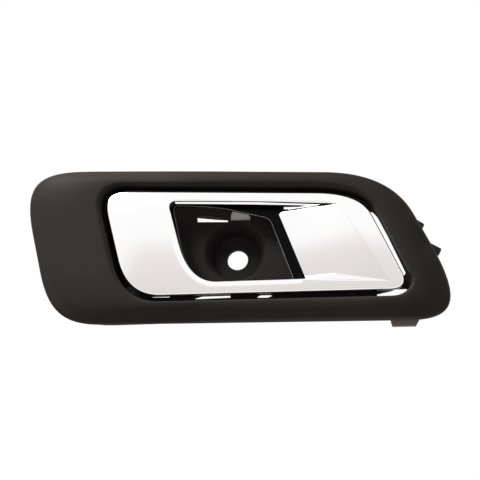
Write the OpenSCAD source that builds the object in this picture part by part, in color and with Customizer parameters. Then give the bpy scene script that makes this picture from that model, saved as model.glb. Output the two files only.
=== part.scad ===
// Inner release lever of a car door, left-hand side.
// A chromed lever loop sits in the opening of a crowned dark bezel. It is hinged
// at its left end on a housing with a finger bowl, and one screw through the
// bottom of the housing's cone holds the whole part to the door.
// Everything is drawn face up, with x along the handle, y up the door and z out
// of the door from the seat under the fixing screw, and stand() then turns z
// up to face -y.

/* [Lever loop] */
// Length of the lever loop
lever_w = 142; // [136:1:148]
// Height of the lever loop
lever_h = 50; // [47:0.5:54]
// Depth of the lever loop from its face to the back of its carrier
lever_t = 9.5; // [8.5:0.5:11]
// Wall of the chromed shell
shell_wall = 2; // [1.5:0.1:2.4]
// Depth of the chromed shell's outer skirt
skirt_depth = 4.6; // [4.2:0.1:7.6]
// Rounding of the lever's front edge
lever_edge = 0.8; // [0.6:0.1:2]
// Depth of the finger dish at the free edge of the paddle
dish_depth = 5; // [4:0.25:5.5]

/* [Bezel] */
// How far the bezel reaches past the lever on the left
band_left = 38; // [30:1:46]
// How far the bezel reaches past the lever on the right
band_right = 28; // [24:1:34]
// How far the bezel reaches past the lever at the top
band_top = 10; // [9:0.5:14]
// How far the bezel reaches past the lever at the bottom
band_bottom = 12.2; // [11.4:0.1:16]
// Wall of the bezel
bezel_wall = 2; // [1.6:0.1:2.2]
// How far the lip round the opening stands proud of the lever's face
lip_rise = 3.5; // [2:0.25:5]
// Height of the lip above the face of the door trim
lip_height = 9; // [8:0.25:12]
// Rounding of the bezel's outer edge
rim_edge = 3; // [2.4:0.1:3.2]

/* [Gap round the lever] */
// Gap between lever and bezel on the left
gap_left = 2.5; // [2.2:0.1:3.4]
// Gap between lever and bezel on the right
gap_right = 3.4; // [2.8:0.1:4.2]
// Gap between lever and bezel at the top
gap_top = 2.4; // [1.8:0.1:3.4]
// Gap between lever and bezel at the bottom
gap_bottom = 3.4; // [2.8:0.1:4.2]

/* [Housing] */
// Thickness of the seat under the fixing screw
seat_t = 3; // [2:0.25:5]
// Depth of the screw cone between the seat and the bowl's floor
cone_depth = 13; // [9:0.5:18]
// Depth of the finger bowl
bowl_depth = 11.5; // [10.5:0.25:15]
// Gap behind the lever, from its carrier to the housing's flange
back_gap = 1.5; // [1.2:0.1:2.5]
// Wall of the bowl, cone and lever pocket
housing_wall = 2; // [1.6:0.1:2.4]
// Thickness of the housing's flange
flange_t = 2.5; // [2:0.1:3]
// Diameter of the fixing screw hole
hole_d = 10; // [6:0.5:12]
// Diameter of the cone at the seat
cone_d_seat = 21.6; // [18:0.2:23]
// Diameter of the cone at the bowl's floor
cone_d_mouth = 27; // [24.5:0.25:28]

/* [Hinge] */
// Diameter of the hinge pin
pin_d = 4; // [3:0.1:4.6]
// Running clearance round the pin, on the radius
pin_clear = 0.05; // [0.03:0.01:0.08]
// Depth of the hinge axis behind the lever's face
axis_depth = 7.5; // [7:0.1:8]
// Outer diameter of the lever's barrels and of the housing's ears
barrel_d = 8; // [7.6:0.1:8.6]
// Thickness of each ear
ear_t = 3; // [2:0.25:4]
// Side clearance between an ear and a barrel
ear_gap = 0.35; // [0.3:0.05:0.5]
// Length of each barrel, as a share of the lever's height
barrel_share = 0.14; // [0.12:0.005:0.16]
// Swing of the lever from rest to open, in degrees
open_angle = 30; // [20:1:32]

/* [Return spring] */
// Wire of the return spring
spring_wire = 1; // [0.8:0.05:1.1]
// Turns of the return spring
spring_turns = 5; // [4:1:6]
// Length of the spring's space between the barrels
spring_space = 8; // [7.5:0.25:10]

/* [Screws] */
// Thread diameter of the bezel screws
screw_d = 2.9; // [2.5:0.1:3.2]
// Thread diameter of the lever's own screws
small_screw_d = 2.2; // [1.8:0.1:2.4]

/* [Hidden] */

// Points on each rounded corner of an outline
corner_steps = 12;
// Facets of round parts
round_fn = 64;
// Overrun of every cut
over = 0.5;
// Clearance of a fixed fit, on the radius or the side
fit = 0.1;

// Heights out of the door, from the seat to the bezel's lip
floor_z = seat_t + cone_depth;
flange_z = floor_z + bowl_depth;
carrier_z = flange_z + back_gap;
face_z = carrier_z + lever_t;
axis_z = face_z - axis_depth;
lip_z = face_z + lip_rise;
trim_z = lip_z - lip_height;

// Lever corners, clockwise from the top left: across in lengths, up in heights,
// rounding before and after the corner in heights, fullness of the rounding
lever_corner_shares = [
    [-0.423, 0.521, 0.28, 0.26, 0.72],
    [0.4243, 0.4281, 0.41, 0.24, 0.68],
    [0.584, -0.489, 0.18, 0.18, 0.60],
    [-0.335, -0.497, 0.32, 0.36, 0.66]];
// Window corners in the same form: a bend in the top edge, the tip of the slit
// that runs out over the dish, and the dish's upper and lower free corners
window_corner_shares = [
    [-0.204, 0.401, 0.08, 0.08, 0.60],
    [0.067, 0.379, 0.40, 0.40, 0.60],
    [0.356, 0.330, 0.02, 0.02, 0.60],
    [0.155, 0.283, 0.054, 0.03, 0.60],
    [0.246, -0.371, 0.02, 0.02, 0.60],
    [-0.132, -0.379, 0.26, 0.38, 0.66]];
// Window through the carrier, whose top edge runs down to the right
carrier_window_shares = [
    [-0.194, 0.394, 0.08, 0.04, 0.60],
    [-0.045, 0.370, 0.14, 0.14, 0.60],
    [0.127, 0.244, 0.05, 0.05, 0.60],
    [0.205, -0.352, 0.02, 0.02, 0.60],
    [-0.140, -0.352, 0.26, 0.38, 0.66]];
// Bezel corners: reach past the lever's corner in bands, rounding in bezel
// heights, fullness
bezel_corner_shares = [
    [-1.052, 1.20, 0.443, 0.471, 0.78],
    [0.495, 0.985, 0.416, 0.304, 0.67],
    [1.012, -1.12, 0.610, 0.416, 0.75],
    [-0.948, -0.965, 0.333, 0.360, 0.74]];
// Fade line of the dish, from the crease's tip at the top to the bottom rail
dish_fade_shares = [[0.356, 0.330], [0.511, -0.410]];
// Crown of the bezel: share of the way out, share of the drop to the rim, which
// is no steeper than the slope where the band is narrow
crown_shares = [[0, 0], [0.35, 0.10], [0.70, 0.45], [1, 1]];
crown_slope = 0.35;
// Bowl sides from mouth to floor: share of the way in, share of the depth left
bowl_side_shares = [[0.72, 0.30], [0.88, 0.10], [1, 0]];

// Height of the bezel's corners
bezel_h = lever_h + band_top + band_bottom;
// Rounding of the lip round the opening
lip_edge = 2.2;
// How deep the opening's wall reaches below the lip
opening_depth = 12;
// Height of the bezel's rim where its crown ends
rim_z = trim_z + rim_edge;

// Distance from the bezel's outer edge in to the housing's flange, of which the
// play is the room inside the bezel's wall
flange_play = 2.5;
flange_inset = bezel_wall + flange_play;
// How far the bowl's mouth stands clear of the lever's window
bowl_margin = 2;
// How far the floor of the bowl reaches past the cone's mouth
cone_land = 0.9;
// Middle of the cone's mouth above the screw hole
cone_rise = 0.7;
// Rounding of the cone's mouth, and its steps
mouth_round = 2.4;
round_steps = 6;
// Upper edge of the bowl's mouth within its margin, in lever heights, at the left
// and the right
bowl_high_shares = [0.408, 0.356];
// Right end of the bowl's mouth, in lever lengths, at the top and the bottom
bowl_end_shares = [0.385, 0.408];
// Slope of the bowl's left, lower and right walls, mouth to floor
bowl_lean = [6, 3.2, 15];
// Depth of the pocket that the lever's left end swings into
pocket_depth = 8.5;
// Right wall of the pocket, left of the bowl's mouth
pocket_gap = 2.5;

// Bottom of the pocket, in lever heights
pocket_low_share = -0.36;

// Depth of the chrome wall round the window
window_depth = 5;
// How far the dish is cut past the window's edge
dish_lap = 1.5;
// Height above the carrier's back of its ledge inside the window
ledge_show = 2.2;

// Place of the hinge, in lever lengths from the screw hole
axis_share = -0.296;
axis_x = axis_share * lever_w;
// Lower end of the hinge's stack of ears and barrels, in lever heights
hinge_share = -0.20;
hinge_y = hinge_share * lever_h;
// Places up the stack
barrel_l = barrel_share * lever_h;
barrel_low_y = hinge_y + ear_t + ear_gap;
spring_y = barrel_low_y + barrel_l;
barrel_high_y = spring_y + spring_space;
ear_high_y = barrel_high_y + barrel_l + ear_gap;
hinge_top_y = ear_high_y + ear_t;
// Room round an ear in the carrier
ear_room = 2.4;
// Head and tail of the hinge pin
pin_head_d = 1.6 * pin_d;
pin_head_t = 1.2;
pin_tail = 1.6;
clip_t = 0.6;
clip_groove = 0.3;
clip_ring = 1.5;

// Release arm: length from the axis, lean to the left, thickness, tip radius
arm_l = 20;
arm_lean = 15;
arm_t = 4;
arm_tip_r = 3;
arm_eye_d = 3.2;
arm_gap = 1.2;
// Conduit bracket
bracket_t = 3;
bracket_w = 12;
bracket_slot = 5;
bracket_gap = 10;
bracket_foot = 4;

// Room inside the spring's coil, its mean radius, its points per turn and the
// sides of its wire
coil_room = 0.6;
spring_r = pin_d / 2 + spring_wire / 2 + coil_room;
coil_steps = 14;
wire_sides = 6;
// Moving leg of the spring, and the rib that its fixed leg leans on
spring_leg = 9;
rib_t = 1.6;
rib_h = 3;

// Screws of the lever: place in lever lengths and heights
lever_screw_shares = [[-0.239, 0.22], [0.440, -0.02], [0.489, -0.22]];
boss_wall = 1.6;
screw_head_share = 1.9;
screw_head_t = 1.4;
small_screw_l = 6;
// Carrier left between a screw's head and the shell's boss
seat_ledge = 1.4;
// Screws of the bezel: place round the outline in corners, share of the band
bezel_screw_shares = [[0.38, 0.45], [1.62, 0.52], [2.40, 0.40], [2.96, 0.48], [3.50, 0.50]];
screw_bite = 5.5;
screw_room = 0.2;

// Rest bumpers: place in lever lengths and heights
bumper_shares = [[0.430, 0.20], [0.500, -0.36]];
bumper_d = 5;
bumper_stem = 2.4;
bumper_bulb = 3.2;
rest_gap = 0.3;
// Open stop on the pocket's floor, left of the hinge
stop_reach = 9;
stop_share = 0.16;

// See-through slots in the flange, point by point: along in lever lengths, above
// the lever's bottom edge in heights
slot_shares = [
    [[-0.268, 0.032], [-0.262, 0.046], [-0.205, 0.046], [-0.205, 0.029]],
    [[-0.131, 0.005], [-0.117, 0.025], [-0.099, 0.038], [-0.005, 0.039],
        [-0.005, 0.011]],
    [[0.079, 0.004], [0.085, 0.026], [0.093, 0.035], [0.124, 0.035],
        [0.134, 0.020], [0.118, 0.002]],
    [[0.470, -0.025], [0.470, 0.014], [0.515, 0.041], [0.530, 0.057],
        [0.566, 0.057], [0.566, -0.025]]];
// Slot along the lever's right side, point by point: along the side, and out
// across it in heights
side_slot_shares = [[0.09, -0.05], [0.150, 0.040], [0.195, 0.053], [0.222, 0.058],
    [0.42, 0.057], [0.798, 0.040], [0.818, 0.006], [0.822, -0.05]];

// Slot above the cone: left end and length in lever lengths
vent_start_share = -0.126;
vent_length_share = 0.104;
vent_h = [2.35, 1.0];
vent_drop = 0.3;
vent_rise = 1.35;
// Light lens: middle from the hole in lever lengths, width, height, thickness
lens_share = 0.020;
lens_d = 9.6;
lens_stub = 3;
lens_t = 2.6;
lens_recess = 0.4;

// Retaining hooks at the right: height in lever heights, root inside the
// flange's edge, reach, height of the tip and of the root above and below
hook_shares = [0.168, -0.072];
hook_root = 2;
hook_reach = [9.2, 10.3];
hook_tip = 2.4;
hook_w = [6, 4];
hook_rise = 0.6;
// Tab at the bottom right: left end in lever lengths, width at root and tip,
// slope of its left side, reach below the flange
tab_share = 0.500;
tab_w = [18, 10.7];
tab_skew = 2.3;
tab_drop = 7;

// Outlines

function unit(v) = v / norm(v);
function between(a, b, t) = a + (b - a) * t;
function spot(row) = [row[0], row[1]];
function sized(shares, w, h) =
    [for (s = shares) [s[0] * w, s[1] * h, s[2] * h, s[3] * h, s[4]]];

// Smooth curve round one corner, from the side before it to the side after it
function corner_curve(a, c, b, n) =
    let (s = spot(c) + unit(spot(a) - spot(c)) * c[2],
        e = spot(c) + unit(spot(b) - spot(c)) * c[3],
        p = between(s, spot(c), c[4]),
        q = between(e, spot(c), c[4]))
    [for (i = [0:n]) let (t = i / n, u = 1 - t)
        s * u * u * u + p * 3 * u * u * t + q * 3 * u * t * t + e * t * t * t];
function outline(rows, n) =
    [for (i = [0:len(rows) - 1]) each corner_curve(
        rows[(i + len(rows) - 1) % len(rows)], rows[i], rows[(i + 1) % len(rows)], n)];

// Outline moved outward by its own gap on the left, right, top and bottom
function outward(pts, i) =
    let (d = pts[(i + 1) % len(pts)] - pts[(i + len(pts) - 1) % len(pts)])
    unit([-d[1], d[0]]);
function grown(pts, g) =
    [for (i = [0:len(pts) - 1]) let (m = outward(pts, i))
        pts[i] + m * (m[0] * m[0] * (m[0] < 0 ? g[0] : g[1])
            + m[1] * m[1] * (m[1] > 0 ? g[2] : g[3]))];
function even(g) = [g, g, g, g];
function raised(pts, z) = [for (p = pts) [p[0], p[1], z]];

lever_corners = sized(lever_corner_shares, lever_w, lever_h);
lever_line = outline(lever_corners, corner_steps);
opening_line = grown(lever_line, [gap_left, gap_right, gap_top, gap_bottom]);
bezel_corners = [for (i = [0:3]) let (s = bezel_corner_shares[i], c = lever_corners[i])
    [c[0] + s[0] * (s[0] < 0 ? band_left : band_right),
        c[1] + s[1] * (s[1] > 0 ? band_top : band_bottom),
        s[2] * bezel_h, s[3] * bezel_h, s[4]]];
bezel_line = outline(bezel_corners, corner_steps);
window_corners = sized(window_corner_shares, lever_w, lever_h);
window_line = outline(window_corners, corner_steps);
carrier_window_line = outline(sized(carrier_window_shares, lever_w, lever_h), corner_steps);

// Point on the band, a length out from the opening
function band_point(i, reach, z) =
    let (p = opening_line[i] + unit(bezel_line[i] - opening_line[i]) * reach)
    [p[0], p[1], z];
// Length and drop of the crown between the lip and the rim
function crown_reach(i) = norm(bezel_line[i] - opening_line[i]) - lip_edge - rim_edge;
function crown_drop(i) = min(lip_z - rim_z, crown_slope * crown_reach(i));
// Loops round the opening at one height, along the crown below its skin, and
// round the rim at an angle from its top
function lip_loop(reach, z) =
    [for (i = [0:len(bezel_line) - 1]) band_point(i, reach, z)];
function crown_loop(share, drop, below) =
    [for (i = [0:len(bezel_line) - 1])
        band_point(i, lip_edge + share * crown_reach(i), lip_z - drop * crown_drop(i) - below)];
function rim_loop(a, inset) =
    [for (i = [0:len(bezel_line) - 1])
        band_point(i, lip_edge + crown_reach(i) + rim_edge * sin(a) - inset,
            trim_z + (lip_z - crown_drop(i) - trim_z) * cos(a))];
// Loop at a distance in from the bezel's outer edge
function inset_loop(shift) =
    [for (i = [0:len(bezel_line) - 1])
        bezel_line[i] + unit(opening_line[i] - bezel_line[i]) * shift];
// Place on the band: corner number and share of the way across
function band_spot(place, share) =
    let (i = place * (corner_steps + 1), k = floor(i), f = i - k,
        n = len(bezel_line), j = (k + 1) % n)
    between(between(opening_line[k], opening_line[j], f),
        between(bezel_line[k], bezel_line[j], f), share);

// Finger bowl: mouth behind the window and floor round the cone
cone_top = cone_rise + cone_d_mouth / 2;
bowl_end = lever_w * bowl_end_shares;
bowl_corners = [
    [window_corners[0][0] - bowl_margin, bowl_high_shares[0] * lever_h + bowl_margin,
        0.16 * lever_h, 0.16 * lever_h, 0.6],
    [bowl_end[0], bowl_high_shares[1] * lever_h + bowl_margin, 0.3 * lever_h, 0.3 * lever_h, 0.6],
    [bowl_end[1], window_corners[4][1] - bowl_margin, 0.3 * lever_h, 0.3 * lever_h, 0.6],
    [window_corners[5][0] - bowl_margin * 1.3, window_corners[5][1] - bowl_margin * 0.7,
        0.30 * lever_h, 0.40 * lever_h, 0.6]];
floor_corners = [
    [bowl_corners[0][0] + bowl_lean[0], cone_top + cone_land,
        0.12 * lever_h, 0.12 * lever_h, 0.6],
    [bowl_corners[1][0] - bowl_lean[2], cone_top + cone_land,
        0.2 * lever_h, 0.2 * lever_h, 0.6],
    [bowl_corners[2][0] - bowl_lean[2], bowl_corners[2][1] + bowl_lean[1],
        0.2 * lever_h, 0.2 * lever_h, 0.6],
    [bowl_corners[3][0] + bowl_lean[0], bowl_corners[3][1] + bowl_lean[1],
        0.24 * lever_h, 0.30 * lever_h, 0.6]];
bowl_mouth = outline(bowl_corners, corner_steps);
bowl_floor = outline(floor_corners, corner_steps);

// Solids from loops

// Closed skin between loops, lowest first, with a flat cap at each end
module stack(loops) {
    n = len(loops[0]);
    m = len(loops);
    polyhedron(
        points = [for (l = loops) each l],
        faces = concat(
            [for (j = [0:m - 2], i = [0:n - 1])
                let (a = j * n + i, b = j * n + (i + 1) % n)
                each [[a, b + n, a + n], [a, b, b + n]]],
            [[for (i = [0:n - 1]) n - 1 - i]],
            [[for (i = [0:n - 1]) (m - 1) * n + i]]));
}

// Ring closed on itself, loop after loop and back to the first
module ring(loops) {
    n = len(loops[0]);
    m = len(loops);
    polyhedron(
        points = [for (l = loops) each l],
        faces = [for (j = [0:m - 1], i = [0:n - 1])
            let (a = j * n + i, b = j * n + (i + 1) % n,
                c = ((j + 1) % m) * n + (i + 1) % n, d = ((j + 1) % m) * n + i)
            each [[a, d, c], [a, c, b]]]);
}

// Drawn face up, stood up to face -y
module stand() {
    rotate([90, 0, 0]) children();
}
module prism(pts, z, h) {
    translate([0, 0, z]) linear_extrude(h) polygon(pts);
}
module tube_z(x, y, z, h, d) {
    translate([x, y, z]) cylinder(h = h, d = d, $fn = round_fn);
}
// Round bar up the door, from y over a length, centred on x and z
module bar_y(x, y, z, h, d) {
    translate([x, y, z]) rotate([-90, 0, 0]) cylinder(h = h, d = d, $fn = round_fn);
}
// Plate standing on edge: outline in x and z, from y over a thickness
module upright(y, h) {
    translate([0, y + h, 0]) rotate([90, 0, 0]) linear_extrude(h) children();
}

// Bezel

bezel_loops = concat(
    [lip_loop(0, lip_z - opening_depth),
        lip_loop(0, lip_z - lip_edge),
        lip_loop(0.134 * lip_edge, lip_z - 0.5 * lip_edge),
        lip_loop(0.5 * lip_edge, lip_z - 0.134 * lip_edge)],
    [for (s = crown_shares) crown_loop(s[0], s[1], 0)],
    [rim_loop(40, 0), rim_loop(70, 0), rim_loop(90, 0), rim_loop(90, bezel_wall)],
    [crown_loop(1, 1, bezel_wall),
        crown_loop(0.5, 0.25, bezel_wall),
        lip_loop(lip_edge + 0.3 * bezel_wall, lip_z - bezel_wall),
        lip_loop(bezel_wall, lip_z - bezel_wall - lip_edge),
        lip_loop(bezel_wall, lip_z - opening_depth)]);

// Solid under the middle of the bezel's skin, which ends the screw bosses
crown_loops = [for (i = [0:len(crown_shares) - 1])
    let (s = crown_shares[len(crown_shares) - 1 - i])
    crown_loop(s[0], s[1], bezel_wall / 2)];
fill_loops = concat([raised(inset_loop(bezel_wall / 2), flange_z - over),
    raised(inset_loop(bezel_wall / 2), trim_z)], crown_loops);

bezel_boss_d = screw_d + 1.4 * boss_wall;

module bezel() {
    color("#3b3633") stand() difference() {
        union() {
            ring(bezel_loops);
            intersection() {
                stack(fill_loops);
                for (s = bezel_screw_shares) {
                    p = band_spot(s[0], s[1]);
                    tube_z(p[0], p[1], flange_z, lip_z - flange_z, bezel_boss_d);
                }
            }
        }
        for (s = bezel_screw_shares) {
            p = band_spot(s[0], s[1]);
            tube_z(p[0], p[1], flange_z - over, screw_bite + screw_room + over,
                screw_d + 2 * pin_clear);
        }
    }
}

// Housing

pocket_z = flange_z - pocket_depth;
pocket_right = bowl_corners[0][0] - pocket_gap;
// Bottom of the pocket, between the hinge and the slots below it
pocket_low = pocket_low_share * lever_h;
flange_line = inset_loop(flange_inset);

// Plan of the lever pocket, grown by a wall
module pocket_plan(wall) {
    intersection() {
        polygon(grown(opening_line, even(wall)));
        translate([pocket_right + wall - 2 * lever_w, pocket_low - wall])
            square(2 * lever_w);
    }
}

function bowl_side(i, wall) =
    grown([for (j = [0:len(bowl_mouth) - 1])
        between(bowl_mouth[j], bowl_floor[j], bowl_side_shares[i][0])], even(wall));
function bowl_loops(wall, top) = concat(
    [raised(bowl_side(2, wall), floor_z - wall)],
    [for (i = [1, 0]) raised(bowl_side(i, wall),
        floor_z - wall + bowl_side_shares[i][1] * bowl_depth)],
    [raised(grown(bowl_mouth, even(wall)), flange_z - wall),
        raised(grown(bowl_mouth, even(wall)), top)]);

// Lever's bottom edge at a place along it
function bottom_y(x) = lookup(x, [
    [lever_corners[3][0], lever_corners[3][1]], [lever_corners[2][0], lever_corners[2][1]]]);

// Ear that carries the hinge pin
module ear(y) {
    upright(y, ear_t) union() {
        translate([axis_x, axis_z]) circle(d = barrel_d, $fn = round_fn);
        translate([axis_x - barrel_d / 2, pocket_z - housing_wall])
            square([barrel_d, axis_z - pocket_z + housing_wall]);
    }
}

// Retaining hook that catches behind the trim
module hook(i) {
    y = hook_shares[i] * lever_h;
    side_x = lookup(y, [[bezel_corners[2][1], bezel_corners[2][0]],
        [bezel_corners[1][1], bezel_corners[1][0]]]);
    translate([side_x - flange_inset - hook_root, y, flange_z - flange_t])
        linear_extrude(flange_t + hook_rise)
        polygon([[0, hook_w[0]], [hook_reach[i], 0],
            [hook_reach[i] - hook_tip / 2, -hook_tip], [0, -hook_w[1]]]);
}

module bottom_tab() {
    y0 = lever_corners[2][1] - band_bottom + flange_inset + hook_root;
    x0 = tab_share * lever_w;
    translate([x0, y0, flange_z - flange_t]) linear_extrude(flange_t)
        polygon([[0, 0], [tab_w[0], 0],
            [tab_skew + tab_w[1], -hook_root - tab_drop],
            [tab_skew, -hook_root - tab_drop]]);
}

// Place of the release arm up the door, and its tip at rest
arm_y = barrel_low_y + arm_gap;
arm_tip_x = axis_x - arm_l * sin(arm_lean);
arm_tip_z = axis_z - arm_l * cos(arm_lean);

module conduit_bracket() {
    x = arm_tip_x - arm_tip_r - bracket_gap - bracket_t;
    y = arm_y + arm_t / 2;
    difference() {
        translate([x, y - bracket_w / 2, arm_tip_z - bracket_foot])
            cube([bracket_t, bracket_w, flange_z - flange_t / 2 - arm_tip_z + bracket_foot]);
        translate([x - over, y, arm_tip_z]) rotate([0, 90, 0])
            cylinder(h = bracket_t + 2 * over, d = bracket_slot, $fn = round_fn);
        translate([x - over, y - bracket_slot / 2, arm_tip_z - bracket_foot - over])
            cube([bracket_t + 2 * over, bracket_slot, bracket_foot + over]);
    }
}

// Cone from the seat up to the bowl's floor, grown by a wall
module cone(wall, z) {
    h = floor_z - z;
    translate([0, cone_rise, z]) cylinder(h = h, $fn = round_fn,
        d1 = cone_d_seat + 2 * wall, d2 = cone_d_mouth + 2 * wall);
}

// Hollow of the cone, whose mouth rolls over onto the bowl's floor
module cone_hollow() {
    r = cone_d_mouth / 2;
    translate([0, cone_rise, 0]) rotate_extrude($fn = round_fn)
        polygon(concat([[0, seat_t], [cone_d_seat / 2, seat_t], [r, floor_z - mouth_round]],
            [for (i = [1:round_steps]) let (a = 90 * i / round_steps)
                [r + mouth_round * (1 - cos(a)), floor_z - mouth_round * (1 - sin(a))]],
            [[r + mouth_round, floor_z + fit], [0, floor_z + fit]]));
}

// Rubber bumpers' seats
module stem_hole(x, y, z, h) {
    tube_z(x, y, z - over, h + 2 * over, bumper_stem + 2 * fit);
}

vent_y = cone_top + vent_rise;
lens_x = lens_share * lever_w;
lens_y = vent_y + fit;
// Half disc of the light lens
module lens_plan(d) {
    translate([lens_x, lens_y]) intersection() {
        circle(d = d, $fn = round_fn);
        translate([-d, 0]) square(2 * d);
    }
}

module housing() {
    color("#191716") stand() difference() {
        union() {
            difference() {
                union() {
                    prism(flange_line, flange_z - flange_t, flange_t);
                    stack(bowl_loops(housing_wall, flange_z - flange_t / 2));
                    translate([0, 0, pocket_z - housing_wall])
                        linear_extrude(pocket_depth + housing_wall - flange_t / 2)
                        pocket_plan(housing_wall);
                    cone(housing_wall, 0);
                    for (i = [0:1]) hook(i);
                    bottom_tab();
                }
                stack(bowl_loops(0, flange_z + over));
                translate([0, 0, pocket_z]) linear_extrude(pocket_depth + over)
                    pocket_plan(0);
                cone_hollow();
            }
            ear(hinge_y);
            ear(ear_high_y);
            conduit_bracket();
            // Rib that the spring's fixed leg leans on
            translate([axis_x - spring_r + spring_wire / 2 + fit, spring_y,
                pocket_z - housing_wall / 2])
                cube([rib_t, rib_h, rib_h + housing_wall / 2]);
        }
        // Fixing screw hole
        tube_z(0, 0, -over, seat_t + 2 * over, hole_d);
        // Bore of the ears
        bar_y(axis_x, hinge_y - over, axis_z, hinge_top_y - hinge_y + 2 * over,
            pin_d + 2 * pin_clear);
        // Way of the release arm through the pocket's floor
        arm_drop = axis_z - pocket_z + housing_wall;
        arm_left = arm_drop * tan(arm_lean) + barrel_d / 2 + arm_gap;
        arm_right = arm_drop * tan(max(open_angle - arm_lean, 0)) + barrel_d / 2 + arm_gap;
        translate([axis_x - arm_left, arm_y - arm_gap / 2, pocket_z - housing_wall - over])
            cube([arm_left + arm_right, arm_t + arm_gap, housing_wall + 2 * over]);
        // See-through slots below the lever and along its right side
        for (s = slot_shares)
            translate([0, 0, flange_z - flange_t - over]) linear_extrude(flange_t + 2 * over)
                polygon([for (q = s)
                    [q[0] * lever_w, bottom_y(q[0] * lever_w) + q[1] * lever_h]]);
        side_slot();
        // Slot and light lens above the cone
        translate([vent_start_share * lever_w, vent_y, seat_t])
            linear_extrude(flange_z - flange_t - seat_t)
            polygon([[0, 0], [0, vent_h[0]], [vent_length_share * lever_w, vent_h[1]],
                [vent_length_share * lever_w, -vent_drop]]);
        translate([0, 0, floor_z - housing_wall - lens_stub - over])
            linear_extrude(bowl_depth + housing_wall + lens_stub - flange_t + over)
            lens_plan(lens_d);
        // Bezel screws and bumper stems
        for (s = bezel_screw_shares) {
            p = band_spot(s[0], s[1]);
            tube_z(p[0], p[1], flange_z - flange_t - over, flange_t + 2 * over,
                screw_d + 2 * screw_room);
        }
        for (s = bumper_shares)
            stem_hole(s[0] * lever_w, s[1] * lever_h, flange_z - flange_t, flange_t);
        stem_hole(axis_x - stop_reach, stop_share * lever_h, pocket_z - housing_wall,
            housing_wall);
    }
}

// Slot between the lever's right side and the bezel
module side_slot() {
    a = spot(lever_corners[1]);
    b = spot(lever_corners[2]);
    m = unit([a[1] - b[1], b[0] - a[0]]) * lever_h;
    translate([0, 0, flange_z - flange_t - over]) linear_extrude(flange_t + 2 * over)
        polygon([for (s = side_slot_shares) between(a, b, s[0]) + m * s[1]]);
}

// Lens cut from the half disc, sloping like the bowl's upper wall
module light_lens() {
    z0 = floor_z - housing_wall - lens_stub;
    lean = atan2(bowl_depth, bowl_corners[0][1] - floor_corners[0][1]);
    color("#8b8684") stand() intersection() {
        translate([0, 0, z0]) linear_extrude(flange_z - flange_t - z0)
            lens_plan(lens_d - 2 * fit);
        translate([lens_x - lens_d, lens_y, floor_z - lens_recess])
            rotate([lean, 0, 0]) translate([0, -lens_d, -lens_t])
            cube([2 * lens_d, 4 * lens_d, lens_t]);
    }
}

// Lever

function shell_loop(shift, drop) = raised(grown(lever_line, even(-shift)), face_z - drop);
shell_loops = [
    shell_loop(0.35 * lever_edge, skirt_depth),
    shell_loop(0.10 * lever_edge, 0.6 * skirt_depth),
    shell_loop(0, 0.45 * skirt_depth),
    shell_loop(0, lever_edge),
    shell_loop(0.134 * lever_edge, 0.5 * lever_edge),
    shell_loop(0.5 * lever_edge, 0.134 * lever_edge),
    shell_loop(lever_edge, 0)];

// Plan of the dish, from the slit round its fade line, lapping the window and the
// slit so that its free edges are cut clean
fade_top = [dish_fade_shares[0][0] * lever_w, dish_fade_shares[0][1] * lever_h];
fade_low = [dish_fade_shares[1][0] * lever_w, dish_fade_shares[1][1] * lever_h];
free_high = spot(window_corners[3]);
free_low = spot(window_corners[4]);
dish_line = [free_high + [-dish_lap, dish_lap], fade_top, fade_low, free_low,
    between(free_low, free_high, 0.1) - [dish_lap, 0], free_high - [dish_lap, 0]];
// Distance from the fade line toward the free edge
function off_fade(p) =
    let (d = unit(fade_low - fade_top)) (p - fade_top) * [d[1], -d[0]];
function dish_z(p) = face_z - dish_depth * off_fade(p) / off_fade(free_low);
module dish_block(wall, room) {
    plan = grown(dish_line, even(wall));
    stack([[for (p = plan) [p[0], p[1], dish_z(p) - room]], raised(plan, face_z + over)]);
}
module lever_bosses(d, z, h) {
    for (s = lever_screw_shares) tube_z(s[0] * lever_w, s[1] * lever_h, z, h, d);
}
boss_d = small_screw_d + 2 * boss_wall;
// Seat of the lever's bosses on the carrier, above the screw heads
head_z = carrier_z + screw_head_t + screw_room;
boss_z = head_z + seat_ledge;

module lever_shell() {
    roof = face_z - shell_wall;
    color("#e6e7e9") stand() difference() {
        stack(shell_loops);
        difference() {
            prism(grown(lever_line, even(-shell_wall)), face_z - skirt_depth - over,
                skirt_depth + over - shell_wall);
            translate([0, 0, face_z - window_depth]) linear_extrude(window_depth)
                offset(delta = shell_wall) polygon(window_line);
            dish_block(shell_wall, shell_wall);
            lever_bosses(boss_d, boss_z, face_z - boss_z);
        }
        prism(window_line, face_z - skirt_depth - over, skirt_depth + 2 * over);
        dish_block(0, 0);
        lever_bosses(small_screw_d + 2 * pin_clear, boss_z - over, roof - boss_z + over);
    }
}

// Room in the carrier round the hinge, over a length up the door
module hinge_room(y, h) {
    w = barrel_d / 2 + ear_room;
    translate([axis_x - w, y, axis_z - barrel_d]) cube([2 * w, h, 2 * barrel_d]);
}

module arm_plan() {
    translate([axis_x, axis_z]) rotate(-arm_lean) union() {
        polygon([[-barrel_d / 2, 0], [barrel_d / 2, 0],
            [arm_tip_r, -arm_l], [-arm_tip_r, -arm_l]]);
        translate([0, -arm_l]) circle(r = arm_tip_r, $fn = round_fn);
    }
}

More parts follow.
